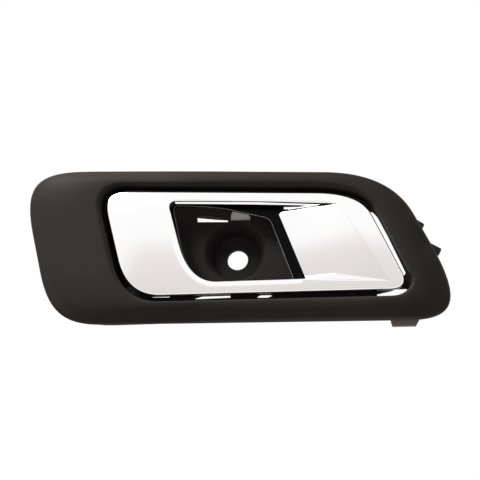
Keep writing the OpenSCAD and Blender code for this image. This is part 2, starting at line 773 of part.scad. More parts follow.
module lever_carrier() {
    roof = face_z - shell_wall - fit;
    color("#0b0b0d") stand() difference() {
        union() {
            difference() {
                prism(grown(lever_line, even(-shell_wall - fit)), carrier_z, roof - carrier_z);
                hinge_room(hinge_y - pin_tail - ear_gap,
                    ear_t + pin_tail + 2 * ear_gap);
                hinge_room(spring_y, spring_space);
                hinge_room(ear_high_y - ear_gap, ear_t + pin_head_t + 2 * ear_gap);
            }
            bar_y(axis_x, barrel_low_y, axis_z, barrel_l, barrel_d);
            bar_y(axis_x, barrel_high_y, axis_z, barrel_l, barrel_d);
            upright(arm_y, arm_t) arm_plan();
        }
        prism(carrier_window_line, carrier_z - over, lever_t + 2 * over);
        translate([0, 0, face_z - window_depth - fit]) linear_extrude(window_depth)
            offset(delta = shell_wall + fit) polygon(window_line);
        prism(window_line, carrier_z + ledge_show, lever_t);
        dish_block(shell_wall + fit, shell_wall + fit);
        lever_bosses(boss_d + 2 * fit, boss_z, lever_t);
        lever_bosses(small_screw_d + 2 * screw_room, carrier_z - over, lever_t);
        lever_bosses(small_screw_d * screw_head_share + 2 * screw_room, carrier_z - over,
            head_z - carrier_z + over);
        bar_y(axis_x, barrel_low_y - over, axis_z,
            barrel_high_y + barrel_l - barrel_low_y + 2 * over, pin_d + 2 * pin_clear);
        bar_y(arm_tip_x, arm_y - over, arm_tip_z, arm_t + 2 * over, arm_eye_d);
    }
}

// Hinge pin, clip and spring

clip_y = hinge_y - clip_t - fit;

module pivot_pin() {
    color("#b9bbbf") stand() difference() {
        union() {
            bar_y(axis_x, hinge_y - pin_tail, axis_z, hinge_top_y - hinge_y + pin_tail, pin_d);
            bar_y(axis_x, hinge_top_y, axis_z, pin_head_t, pin_head_d);
        }
        difference() {
            bar_y(axis_x, clip_y - fit, axis_z, clip_t + 2 * fit, pin_d + 2 * over);
            bar_y(axis_x, clip_y - over, axis_z, clip_t + 2 * over, pin_d - 2 * clip_groove);
        }
    }
}

module pin_clip() {
    color("#8d8f93") stand() difference() {
        bar_y(axis_x, clip_y, axis_z, clip_t, pin_d + 2 * clip_ring);
        bar_y(axis_x, clip_y - over, axis_z, clip_t + 2 * over,
            pin_d - 2 * clip_groove + 2 * pin_clear);
        translate([axis_x - pin_d / 4, clip_y - over, axis_z - pin_d])
            cube([pin_d / 2, clip_t + 2 * over, pin_d]);
    }
}

// Route of the spring's wire in x, y, z: up the fixed leg, round the coil and
// out along the moving leg under the carrier
spring_pitch = (spring_space - 2 * spring_wire) / (spring_turns - 0.25);
coil_start = spring_y + spring_wire;
function coil_point(a) =
    [axis_x + spring_r * cos(a), coil_start + (180 - a) / 360 * spring_pitch,
        axis_z + spring_r * sin(a)];
coil_end = 180 - 360 * (spring_turns - 0.25);
spring_route = concat(
    [[axis_x - spring_r, coil_start, pocket_z + spring_wire]],
    [for (i = [0:round(coil_steps * (spring_turns - 0.25))])
        coil_point(180 - (180 - coil_end) * i / round(coil_steps * (spring_turns - 0.25)))],
    [[axis_x - spring_leg, coil_point(coil_end)[1],
        carrier_z - spring_wire / 2 - pin_clear]]);

// Wire swept along the route: each ring stands across the way to the next point
function along(pts, i) = unit(pts[min(i + 1, len(pts) - 1)] - pts[max(i - 1, 0)]);
module wire(pts, d) {
    n = wire_sides;
    m = len(pts);
    polyhedron(
        points = [for (i = [0:m - 1])
            let (t = along(pts, i), u = unit(cross(t, [0, 1, 0])), v = cross(t, u))
            for (k = [0:n - 1]) pts[i] + (u * cos(360 * k / n) + v * sin(360 * k / n)) * d / 2],
        faces = concat(
            [for (j = [0:m - 2], k = [0:n - 1])
                let (a = j * n + k, b = j * n + (k + 1) % n)
                each [[a, b, b + n], [a, b + n, a + n]]],
            [[for (k = [0:n - 1]) n - 1 - k]],
            [[for (k = [0:n - 1]) (m - 1) * n + k]]));
}
module return_spring() {
    color("#9a9ca0") stand() wire(spring_route, spring_wire);
}

// Screws and bumpers

// Pan-head screw, head below z and thread above it
module screw(p, z, d, head_t, l) {
    color("#77797d") stand() union() {
        tube_z(p[0], p[1], z, l, d);
        tube_z(p[0], p[1], z - head_t, head_t, d * screw_head_share);
    }
}
module carrier_screw(i) {
    s = lever_screw_shares[i];
    screw([s[0] * lever_w, s[1] * lever_h], head_z, small_screw_d, screw_head_t,
        small_screw_l - screw_room);
}
module bezel_screw(i) {
    s = bezel_screw_shares[i];
    screw(band_spot(s[0], s[1]), flange_z - flange_t, screw_d, screw_head_t,
        flange_t + screw_bite);
}

// Rubber bumper: head on a panel's front, stem through it, bulb behind it
module bumper(x, y, z, t, h) {
    color("#2b2a2a") stand() translate([x, y, z]) rotate_extrude($fn = round_fn)
        polygon([[0, -t - bumper_stem / 2], [bumper_stem / 2, -t - bumper_stem / 2],
            [bumper_bulb / 2, -t], [bumper_stem / 2, -t], [bumper_stem / 2, 0],
            [bumper_d / 2, 0], [bumper_d / 2, h], [0, h]]);
}
module rest_bumper(i) {
    bumper(bumper_shares[i][0] * lever_w, bumper_shares[i][1] * lever_h, flange_z,
        flange_t, back_gap - rest_gap);
}
// The carrier's back meets the stop's left edge first when the lever is open
module open_stop_bumper() {
    top = axis_z - (stop_reach + bumper_d / 2) * tan(open_angle)
        - (axis_z - carrier_z) / cos(open_angle) - rest_gap;
    bumper(axis_x - stop_reach, stop_share * lever_h, pocket_z, housing_wall,
        top - pocket_z);
}

bezel();
housing();
light_lens();
lever_shell();
lever_carrier();
pivot_pin();
pin_clip();
return_spring();
for (i = [1:3])
    carrier_screw(i - 1);
for (i = [1:5])
    bezel_screw(i - 1);
rest_bumper(0);  // rest_bumper_upper
rest_bumper(1);  // rest_bumper_lower
open_stop_bumper();
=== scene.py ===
import math

import bmesh
import bpy
import numpy as np
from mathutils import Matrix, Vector
from mathutils.geometry import delaunay_2d_cdt


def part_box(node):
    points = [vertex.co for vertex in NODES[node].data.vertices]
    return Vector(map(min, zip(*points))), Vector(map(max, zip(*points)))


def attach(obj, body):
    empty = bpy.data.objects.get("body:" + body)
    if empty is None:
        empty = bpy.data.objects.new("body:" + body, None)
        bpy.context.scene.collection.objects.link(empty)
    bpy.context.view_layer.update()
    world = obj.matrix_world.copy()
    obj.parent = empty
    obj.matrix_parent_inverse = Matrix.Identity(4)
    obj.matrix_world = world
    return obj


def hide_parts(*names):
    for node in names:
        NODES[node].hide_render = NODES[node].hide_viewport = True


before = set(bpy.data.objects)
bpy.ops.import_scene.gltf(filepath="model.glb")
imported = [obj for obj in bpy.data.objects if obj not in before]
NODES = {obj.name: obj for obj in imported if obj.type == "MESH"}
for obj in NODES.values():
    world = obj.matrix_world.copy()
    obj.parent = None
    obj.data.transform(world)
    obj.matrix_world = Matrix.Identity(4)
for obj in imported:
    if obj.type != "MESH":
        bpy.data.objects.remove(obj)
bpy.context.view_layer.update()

# Sizes in millimetres on the panel: x right, y up the door, z out of the door.
# They repeat the part's own sizes, which the scene can't read.
LEVER_W, LEVER_H = 142.0, 50.0
SHELL_WALL, SKIRT, EDGE, DISH = 2.0, 4.6, 0.8, 5.0
BAND = (38.0, 28.0, 10.0, 12.2)
BEZEL_H = LEVER_H + BAND[2] + BAND[3]
BEZEL_WALL, LIP_EDGE, RIM_EDGE, CROWN_SLOPE = 2.0, 2.2, 3.0, 0.35
GAPS = (2.5, 3.4, 2.4, 3.4)
FLANGE_Z, CARRIER_Z, FACE_Z, LIP_Z, TRIM_Z = 27.5, 29.0, 38.5, 42.0, 33.0
RIM_Z = TRIM_Z + RIM_EDGE
LIP_DEPTH, LIP_STEP = 12.0, 6.0
WINDOW_DEPTH, LEDGE = 5.0, 2.2
MM = 1000.0

# Construction corners: x and y in shares of the lever's length and height, the length
# of rounding before and after in shares of the height, and how full the rounding is
LEVER_ROWS = [
    (-0.423, 0.521, 0.28, 0.26, 0.72),
    (0.4243, 0.4281, 0.41, 0.24, 0.68),
    (0.580, -0.489, 0.18, 0.18, 0.60),
    (-0.335, -0.497, 0.32, 0.36, 0.66)]
WINDOW_ROWS = [
    (-0.204, 0.401, 0.08, 0.08, 0.60),
    (0.067, 0.379, 0.40, 0.40, 0.60),
    (0.356, 0.330, 0.02, 0.02, 0.60),
    (0.155, 0.283, 0.054, 0.03, 0.60),
    (0.246, -0.371, 0.02, 0.02, 0.60),
    (-0.132, -0.379, 0.26, 0.38, 0.66)]
CARRIER_ROWS = [
    (-0.194, 0.394, 0.08, 0.04, 0.60),
    (-0.045, 0.370, 0.14, 0.14, 0.60),
    (0.127, 0.244, 0.05, 0.05, 0.60),
    (0.205, -0.352, 0.02, 0.02, 0.60),
    (-0.140, -0.352, 0.26, 0.38, 0.66)]
# The bezel's corners start at the lever's and move out by shares of the band
BEZEL_ROWS = [
    (-1.052, 1.20, 0.443, 0.471, 0.78),
    (0.495, 0.985, 0.416, 0.304, 0.67),
    (1.012, -1.12, 0.610, 0.416, 0.75),
    (-0.948, -0.965, 0.333, 0.360, 0.74)]


# Outlines

def unit(v):
    return v / np.linalg.norm(v)


def sized(rows, w, h):
    return [np.array([a * w, b * h, c * h, d * h, e]) for a, b, c, d, e in rows]


def outline(rows, steps, side=0):
    """Rounded outline; side is the number of points put in on each straight side."""
    pts = []
    for i, c in enumerate(rows):
        a, b = rows[i - 1], rows[(i + 1) % len(rows)]
        s = c[:2] + unit(a[:2] - c[:2]) * c[2]
        e = c[:2] + unit(b[:2] - c[:2]) * c[3]
        p, q = s + (c[:2] - s) * c[4], e + (c[:2] - e) * c[4]
        for t in np.linspace(0, 1, steps + 1):
            u = 1 - t
            pts.append(s * u ** 3 + p * 3 * u * u * t + q * 3 * u * t * t + e * t ** 3)
        n = b[:2] + unit(c[:2] - b[:2]) * b[2]
        for t in np.arange(1, side + 1) / (side + 1):
            pts.append(e + (n - e) * t)
    return np.array(pts)


def normals(pts):
    d = np.roll(pts, -1, 0) - np.roll(pts, 1, 0)
    m = np.stack([-d[:, 1], d[:, 0]], 1)
    return m / np.linalg.norm(m, axis=1)[:, None]


def grown(pts, g):
    """Outline moved outward by its gaps on the left, right, top and bottom."""
    g = (g,) * 4 if isinstance(g, (int, float)) else g
    m = normals(pts)
    gx = np.where(m[:, 0] < 0, g[0], g[1])
    gy = np.where(m[:, 1] > 0, g[2], g[3])
    return pts + m * (m[:, 0] ** 2 * gx + m[:, 1] ** 2 * gy)[:, None]


def at(pts, z):
    return np.column_stack([pts, np.full(len(pts), z) if np.isscalar(z) else z])


# Meshes from panel coordinates

def piece(name, verts, faces, body, node=None, slot=None, sharp=35.0, material=None):
    """One closed or open piece whose points are in millimetres on the panel."""
    v = np.asarray(verts, float) / MM
    v = np.column_stack([v[:, 0], -v[:, 2], v[:, 1]])
    mesh = bpy.data.meshes.new(name)
    mesh.from_pydata(v.tolist(), [], [list(map(int, f)) for f in faces])
    bm = bmesh.new()
    bm.from_mesh(mesh)
    bmesh.ops.remove_doubles(bm, verts=bm.verts, dist=1e-6)
    bmesh.ops.dissolve_degenerate(bm, edges=bm.edges, dist=1e-7)
    bmesh.ops.recalc_face_normals(bm, faces=bm.faces)
    bm.to_mesh(mesh)
    bm.free()
    for p in mesh.polygons:
        p.use_smooth = True
    mesh.set_sharp_from_angle(angle=math.radians(sharp))
    obj = bpy.data.objects.new(name, mesh)
    bpy.context.scene.collection.objects.link(obj)
    if material:
        mesh.materials.append(material)
    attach(obj, body)
    if node:
        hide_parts(*([node] if isinstance(node, str) else node))
    return obj


def loft(loops, closed=False, caps=False):
    """Faces between loops of equal length; closed joins the last to the first."""
    n, m = len(loops[0]), len(loops)
    verts = np.concatenate(loops)
    faces = []
    for j in range(m if closed else m - 1):
        k = (j + 1) % m
        for i in range(n):
            h = (i + 1) % n
            faces.append((j * n + i, j * n + h, k * n + h, k * n + i))
    if caps:
        faces.append(tuple(range(n)))
        faces.append(tuple((m - 1) * n + i for i in range(n)))
    return verts, faces


def join(*parts):
    verts, faces, base = [], [], 0
    for v, f in parts:
        verts.append(np.asarray(v))
        faces += [tuple(i + base for i in t) for t in f]
        base += len(v)
    return np.concatenate(verts), faces


# Materials

# The housing is its tab below this height and right of this place, in metres, where a paler
# colour is painted light standing in for the light the tab catches; the two colours meet over
# this length
TAB_TOP, TAB_LEFT, TAB_BLEND = -0.0362, 0.0705, 0.0002


def material(name, build):
    """Material whose nodes are made by build."""
    mat = bpy.data.materials.new(name)
    mat.use_nodes = True
    nodes, links = mat.node_tree.nodes, mat.node_tree.links
    bsdf = nodes["Principled BSDF"]
    build(nodes, links, bsdf)
    return mat


def noise(nodes, links, scale, detail=3.0, rough=0.55, stretch=(1, 1, 1)):
    tc = nodes.new("ShaderNodeTexCoord")
    mp = nodes.new("ShaderNodeMapping")
    mp.inputs["Scale"].default_value = stretch
    tx = nodes.new("ShaderNodeTexNoise")
    tx.inputs["Scale"].default_value = scale
    tx.inputs["Detail"].default_value = detail
    tx.inputs["Roughness"].default_value = rough
    links.new(tc.outputs["Object"], mp.inputs["Vector"])
    links.new(mp.outputs["Vector"], tx.inputs["Vector"])
    return tx.outputs["Fac"]


def ramp(nodes, links, value, stops):
    r = nodes.new("ShaderNodeValToRGB")
    while len(r.color_ramp.elements) < len(stops):
        r.color_ramp.elements.new(0.5)
    for e, (pos, col) in zip(r.color_ramp.elements, stops):
        e.position = pos
        e.color = (*col, 1) if len(col) == 3 else col
    links.new(value, r.inputs["Fac"])
    return r.outputs["Color"]


def ranged(nodes, links, value, lo, hi, frm=(0.3, 0.7)):
    m = nodes.new("ShaderNodeMapRange")
    m.inputs["From Min"].default_value, m.inputs["From Max"].default_value = frm
    m.inputs["To Min"].default_value, m.inputs["To Max"].default_value = lo, hi
    links.new(value, m.inputs["Value"])
    return m.outputs["Result"]


def bump(nodes, links, bsdf, value, strength, distance):
    b = nodes.new("ShaderNodeBump")
    b.inputs["Strength"].default_value = strength
    b.inputs["Distance"].default_value = distance
    links.new(value, b.inputs["Height"])
    links.new(b.outputs["Normal"], bsdf.inputs["Normal"])


def lin(r, g, b):
    """Linear colour of an sRGB one given from 0 to 255."""
    shares = (c / 255 for c in (r, g, b))
    return tuple(c / 12.92 if c <= 0.04045 else ((c + 0.055) / 1.055) ** 2.4 for c in shares)


def moulded(dark, light, rough, grain=2600.0, depth=0.00002, specular=0.4):
    """Moulded plastic with a fine eroded grain and slow blotches of tone."""
    def build(nodes, links, bsdf):
        slow = noise(nodes, links, 38.0, 2.0)
        fine = noise(nodes, links, grain, 4.0, 0.6)
        links.new(ramp(nodes, links, slow, [(0.3, dark), (0.7, light)]),
                  bsdf.inputs["Base Color"])
        links.new(ranged(nodes, links, fine, rough - 0.05, rough + 0.07),
                  bsdf.inputs["Roughness"])
        bsdf.inputs["Specular IOR Level"].default_value = specular
        bump(nodes, links, bsdf, fine, 0.35, depth)
    return build


def housing_look_painted_tab_light(nodes, links, bsdf):
    """Housing plastic, with a paler colour on the tab below the bezel as painted light for the
    light it catches.
    """
    moulded(lin(47, 43, 43), lin(55, 50, 50), 0.68, specular=0.08)(nodes, links, bsdf)
    plain = bsdf.inputs["Base Color"].links[0].from_socket
    place = nodes.new("ShaderNodeTexCoord")
    axes = nodes.new("ShaderNodeSeparateXYZ")
    links.new(place.outputs["Object"], axes.inputs[0])
    mix = nodes.new("ShaderNodeMixRGB")
    # Painted light: this paler colour stands in for light falling on the tab below the bezel
    mix.inputs["Color2"].default_value = (*lin(146, 138, 133), 1)
    painted_tab_light = nodes.new("ShaderNodeMath")
    painted_tab_light.operation = "MULTIPLY"
    links.new(ranged(nodes, links, axes.outputs["Z"], 1, 0, (TAB_TOP - TAB_BLEND, TAB_TOP)),
              painted_tab_light.inputs[0])
    links.new(ranged(nodes, links, axes.outputs["X"], 0, 1, (TAB_LEFT - TAB_BLEND, TAB_LEFT)),
              painted_tab_light.inputs[1])
    links.new(painted_tab_light.outputs[0], mix.inputs["Fac"])
    links.new(plain, mix.inputs["Color1"])
    links.new(mix.outputs["Color"], bsdf.inputs["Base Color"])


def chrome(nodes, links, bsdf):
    """Bright plating with a faint orange peel."""
    slow = noise(nodes, links, 30.0, 2.0)
    fine = noise(nodes, links, 900.0, 3.0)
    links.new(ramp(nodes, links, slow, [(0.3, lin(251, 250, 250)), (0.7, lin(254, 253, 253))]),
              bsdf.inputs["Base Color"])
    bsdf.inputs["Metallic"].default_value = 1.0
    links.new(ranged(nodes, links, fine, 0.05, 0.075), bsdf.inputs["Roughness"])
    bump(nodes, links, bsdf, slow, 0.02, 0.0001)


def gloss_black(nodes, links, bsdf):
    """Smooth black plastic."""
    slow = noise(nodes, links, 60.0, 2.0)
    fine = noise(nodes, links, 1500.0, 2.0)
    links.new(ramp(nodes, links, slow, [(0.3, lin(4, 4, 5)), (0.7, lin(10, 9, 10))]),
              bsdf.inputs["Base Color"])
    links.new(ranged(nodes, links, fine, 0.12, 0.2), bsdf.inputs["Roughness"])
    bsdf.inputs["Specular IOR Level"].default_value = 0.05


def metal(dark, light, rough):
    """Plain metal with fine lines."""
    def build(nodes, links, bsdf):
        slow = noise(nodes, links, 90.0, 3.0)
        fine = noise(nodes, links, 900.0, 3.0, 0.6, (1, 1, 6))
        links.new(ramp(nodes, links, slow, [(0.3, dark), (0.7, light)]),
                  bsdf.inputs["Base Color"])
        bsdf.inputs["Metallic"].default_value = 1.0
        links.new(ranged(nodes, links, fine, rough - 0.06, rough + 0.1),
                  bsdf.inputs["Roughness"])
        bump(nodes, links, bsdf, fine, 0.15, 0.00002)
    return build


MAT = {
    "bezel": material("bezel_plastic", moulded(lin(34, 30, 27), lin(39, 35, 32), 0.62,
                                               specular=0.08)),
    "housing": material("housing_plastic", housing_look_painted_tab_light),
    "lens": material("lens_plastic", moulded(lin(244, 239, 239), lin(250, 246, 246), 0.4,
                                             1400.0, 0.00001)),
    "chrome": material("chrome_plate", chrome),
    "carrier": material("carrier_plastic", gloss_black),
    # Pale grey metal for the carrier's edge bead: a painted highlight standing in for light
    # caught by that edge
    "rim": material("carrier_edge_painted_highlight", metal(lin(120, 120, 120), lin(150, 148, 147), 0.35)),
    "steel": material("steel_plain", metal(lin(150, 152, 156), lin(178, 180, 184), 0.3)),
    "rubber": material("bumper_rubber", moulded(lin(30, 29, 29), lin(38, 37, 36), 0.75,
                                                1800.0, 0.00003)),
}
for node in NODES.values():
    for slot in node.material_slots:
        slot.material = MAT[slot.material.name.split(".")[0]]

# Bezel

lever_rows = sized(LEVER_ROWS, LEVER_W, LEVER_H)
window_rows = sized(WINDOW_ROWS, LEVER_W, LEVER_H)
STEPS, SIDE = 28, 12
lever_line = outline(lever_rows, STEPS, SIDE)
opening_line = grown(lever_line, GAPS)
bezel_rows = [
    np.array([c[0] + s[0] * (BAND[0] if s[0] < 0 else BAND[1]),
              c[1] + s[1] * (BAND[2] if s[1] > 0 else BAND[3]),
              s[2] * BEZEL_H, s[3] * BEZEL_H, s[4]])
    for s, c in zip(BEZEL_ROWS, lever_rows)]
bezel_line = outline(bezel_rows, STEPS, SIDE)

across = bezel_line - opening_line
width = np.linalg.norm(across, axis=1)
across /= width[:, None]
reach = width - LIP_EDGE - RIM_EDGE
drop = np.minimum(LIP_Z - RIM_Z, CROWN_SLOPE * reach)


def band(out, z):
    """Loop at a distance outward from the opening."""
    return at(opening_line + across * np.broadcast_to(out, width.shape)[:, None],
              np.broadcast_to(z, width.shape))


def crown_share(s):
    """Share of the crown's fall at a share of its way out."""
    return 0.999 * s ** 2.2


def bezel_loops():
    """Section of the bezel from the opening over the crown and rim, and back inside."""
    loops = [band(0, LIP_Z - LIP_DEPTH), band(0, LIP_Z - LIP_STEP),
             band(0, LIP_Z - LIP_EDGE - 0.4)]
    for a in np.radians(np.linspace(0, 84, 8)):
        loops.append(band(LIP_EDGE * (1 - math.cos(a)), LIP_Z - LIP_EDGE * (1 - math.sin(a))))
    for s in np.linspace(0, 1, 13):
        loops.append(band(LIP_EDGE + s * reach, LIP_Z - crown_share(s) * drop))
    for a in np.radians(np.linspace(8, 90, 10)):
        loops.append(band(LIP_EDGE + reach + RIM_EDGE * math.sin(a),
                          TRIM_Z + (LIP_Z - drop - TRIM_Z) * math.cos(a)))
    inner = LIP_EDGE + reach + RIM_EDGE - BEZEL_WALL
    loops += [band(inner + 1.5, TRIM_Z), band(inner, TRIM_Z), band(inner, TRIM_Z + 0.6),
              band(LIP_EDGE + reach, LIP_Z - drop - BEZEL_WALL)]
    for s in (0.75, 0.5, 0.25):
        loops.append(band(LIP_EDGE + s * reach, LIP_Z - crown_share(s) * drop - BEZEL_WALL))
    loops += [band(LIP_EDGE + 0.3 * BEZEL_WALL, LIP_Z - BEZEL_WALL),
              band(BEZEL_WALL, LIP_Z - BEZEL_WALL - LIP_EDGE),
              band(BEZEL_WALL, LIP_Z - LIP_DEPTH), band(BEZEL_WALL - 0.4, LIP_Z - LIP_DEPTH)]
    return loops


BOSS_R, BOSS_HOLE_R, BOSS_TOP = 2.57, 1.45, 40.0


def boss(x, y, z0, z1, outer, inner, sides=32):
    """Upright round boss with a blind hole in its lower end."""
    a = np.radians(np.arange(sides) * 360 / sides)

    def ring(r, z):
        return np.column_stack([x + r * np.cos(a), y + r * np.sin(a), np.full(sides, z)])

    mouth, top = z0 + 0.25, z1 - 1.5
    return loft([ring(outer, z1), ring(outer, mouth), ring(outer - 0.25, z0),
                 ring(inner + 0.2, z0), ring(inner, mouth), ring(inner, top)], caps=True)


def bezel_bosses():
    """A boss round each of the bezel's screws."""
    parts = []
    for i in range(1, 6):
        lo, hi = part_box(f"bezel_screw_{i}")
        x, y = (MM * (lo[k] + hi[k]) / 2 for k in (0, 2))
        parts.append(boss(x, y, FLANGE_Z, BOSS_TOP, BOSS_R, BOSS_HOLE_R))
    return join(*parts)


piece("bezel_shell", *join(loft(bezel_loops(), closed=True), bezel_bosses()), "housing",
      "bezel", "bezel", 40.0, MAT["bezel"])

# Lever: one chromed skin with a dished paddle

FREE_A, FREE_B = window_rows[3][:2], window_rows[4][:2]
FADE_TOP = window_rows[2][:2]
FADE_LOW = np.array([0.511 * LEVER_W, -0.410 * LEVER_H])
CROWN_RISE = 0.55
# Width of the dish's foot and the softness of its two folds, in shares of that width
FILLET, FILLET_ROUND = 3.0, 0.07
# Softness of the dish's run-out, at its lower end and further up
FADE_ROUND = (0.004, 0.012)
# Fall of the face along the window's lower left edge and along its top
SHOULDER_W, SHOULDER_DROP = 2.8, 0.24
ROLL_W, ROLL_DROP = 2.6, 0.10
# Rounding of the window's edge
BROW = 0.3
CORNER_STEPS, SIDE_STEPS = 16, 24

window_line = outline(window_rows, CORNER_STEPS, SIDE_STEPS)
corner_starts = np.arange(len(window_rows)) * (CORNER_STEPS + 1 + SIDE_STEPS)


def beside(p, a, b):
    """Signed distance of points from the line a to b, positive on its right."""
    d = unit(b - a)
    return (p[:, 0] - a[0]) * d[1] - (p[:, 1] - a[1]) * d[0]


def ease(v, lo, hi):
    """Smooth step from 0 at lo to 1 at hi."""
    t = np.clip((v - lo) / (hi - lo), 0, 1)
    return t * t * (3 - 2 * t)


def above_zero(v, soft):
    """The positive part of a value, with a rounded corner."""
    return 0.5 * (v + np.sqrt(v * v + soft * soft))


def fall(p, path, start, end, width, drop):
    """Fall of the face towards a path, growing and fading over its first and last lengths."""
    steps = np.linalg.norm(np.diff(path, axis=0), axis=1)
    gone = np.concatenate([[0], np.cumsum(steps)])
    out = np.zeros(len(p))
    lo, hi = path.min(0) - width, path.max(0) + width
    near = np.nonzero(((p > lo) & (p < hi)).all(1))[0]
    for i in range(0, len(near), FALL_BATCH):
        k = near[i:i + FALL_BATCH]
        to = p[k][:, None] - path[None, :-1]
        d = np.diff(path, axis=0)[None]
        t = np.clip((to * d).sum(2) / (d * d).sum(2), 0, 1)
        dist = np.linalg.norm(to - d * t[..., None], axis=2)
        j = dist.argmin(1)
        rows = np.arange(len(k))
        way = gone[j] + t[rows, j] * steps[j]
        share = ease(way, 0, start) * ease(gone[-1] - way, 0, end)
        out[k] = share * np.clip(1 - dist[rows, j] / width, 0, 1) ** 2
    return out * drop


low_path = np.concatenate([window_line[corner_starts[4] + CORNER_STEPS // 2:], window_line[:1]])
top_path = np.concatenate([window_line[-8:],
                           window_line[:corner_starts[2] + CORNER_STEPS // 2]])
FALL_BATCH, CLEAR_BATCH = 1500, 2000


def shoulder(p):
    """Fall of the face towards the window's upper, left and lower edges."""
    return (fall(p, low_path, 3.0, 6.0, SHOULDER_W, SHOULDER_DROP)
            + fall(p, top_path, 5.0, 4.0, ROLL_W, ROLL_DROP))


def dish_depth(p):
    """Depth of the dish below the face, without its bounds at the free edges."""
    t = -beside(p, FADE_TOP, FADE_LOW) / -beside(np.array([FREE_B]), FADE_TOP, FADE_LOW)[0]
    along = ease(np.linalg.norm(p - FADE_LOW, axis=-1), 2, 20)
    t = above_zero(t, FADE_ROUND[0] + (FADE_ROUND[1] - FADE_ROUND[0]) * along)
    left = ease((p - FREE_B) @ unit(FADE_LOW - FREE_B), -2, 14)
    foot = FILLET * (0.6 + 0.4 * left) * np.minimum(1, t / 0.6 + 0.01)
    fold = beside(p, FADE_LOW, FREE_B) / foot
    fold = above_zero(fold, FILLET_ROUND) - above_zero(fold - 1, FILLET_ROUND)
    return DISH * t * fold


def face_height(p):
    """Height of the lever's face: gentle crown, shoulder and the dish."""
    free = -beside(p, FREE_A, FREE_B)
    cut = beside(p, FREE_A, FADE_TOP)
    past = ease(p[:, 0] - FADE_TOP[0], 0, 6)
    dish = dish_depth(p) * ease(free, -1.2, -0.8) * ease(cut, -0.05 - 1.2 * past, 0)
    middle = 0.5 * (lever_rows[0][1] + lever_rows[3][1])
    crown = CROWN_RISE * ((p[:, 1] - middle) / (0.5 * LEVER_H)) ** 2
    return FACE_Z - dish - np.minimum(crown, CROWN_RISE) - shoulder(p)


def inside(p, loop):
    """Which points lie inside a closed loop."""
    x, y = p[:, 0][:, None], p[:, 1][:, None]
    a, b = loop, np.roll(loop, -1, 0)
    hit = (a[:, 1] > y) != (b[:, 1] > y)
    with np.errstate(divide="ignore", invalid="ignore"):
        cross = a[:, 0] + (y - a[:, 1]) * (b[:, 0] - a[:, 0]) / (b[:, 1] - a[:, 1])
    return (hit & (x < cross)).sum(1) % 2 == 1


def clear(p, loop, gap):
    """Which points keep a gap from a loop's own points."""
    keep = np.ones(len(p), bool)
    for i in range(0, len(p), CLEAR_BATCH):
        d = np.linalg.norm(p[i:i + CLEAR_BATCH, None] - loop[None], axis=2).min(1)
        keep[i:i + CLEAR_BATCH] = d > gap
    return keep


def sheet_mesh(outer, hole, extra, height):
    """Triangles over the area between two loops, through extra points."""
    extra = extra[inside(extra, outer) & ~inside(extra, hole)]
    extra = extra[clear(extra, outer, 0.25) & clear(extra, hole, 0.2)]
    pts = np.concatenate([outer, hole, extra])
    n, m = len(outer), len(hole)
    edges = [(i, (i + 1) % n) for i in range(n)] + [(n + i, n + (i + 1) % m) for i in range(m)]
    v, _, tris, *_ = delaunay_2d_cdt([Vector(p) for p in pts.tolist()], edges, [], 0, 1e-5)
    v = np.array([tuple(p) for p in v])
    tris = np.array([tuple(t) for t in tris])
    mid = v[tris].mean(1)
    tris = tris[inside(mid, outer) & ~inside(mid, hole)]
    return at(v, height(v)), [tuple(t) for t in tris]


def along_line(a, b, step, sides):
    """Rows of points along a line, at distances to its sides."""
    n = max(int(np.linalg.norm(b - a) / step), 2)
    d = unit(b - a)
    m = np.array([d[1], -d[0]])
    base = a + (b - a) * np.linspace(0, 1, n)[:, None]
    return np.concatenate([base + m * s for s in sides])


def lever_points(step):
    """Staggered grid of points over the lever."""
    gx = np.arange(-62, 84, step)
    gy = np.arange(-26, 28, step)
    x, y = np.meshgrid(gx, gy)
    x = x + np.where(np.arange(len(gy)) % 2, step / 2, 0)[:, None]
    return np.column_stack([x.ravel(), y.ravel()])


grid = lever_points(1.1)
# Close rows of points along the dish's foot, the window, the slit's tip and the run-out
folds = np.concatenate([
    along_line(FADE_LOW, FREE_B - (1, 0), 0.45,
               (-0.6, -0.3, -0.12, 0, 0.12, 0.3, 0.6, 0.95, 1.3, 1.65, 2, 2.35, 2.7, 2.88, 3,
                3.12, 3.3, 3.7)),
    *[grown(window_line, g) for g in (0.7, 1.1, 1.5, 1.9, 2.4, 2.9, 3.4)],
    along_line(FADE_TOP, FADE_TOP + (9, 0.7), 0.5, (-0.6, -0.35, -0.15, 0, 0.15, 0.35)),
    along_line(FADE_TOP + (0.3, -0.5), FADE_LOW, 0.6,
               (-2.5, -1.2, -0.4, -0.12, 0, 0.12, 0.4, 1.2, 2.5))])
grid = np.concatenate([grid[clear(grid, folds, 0.35)], folds])


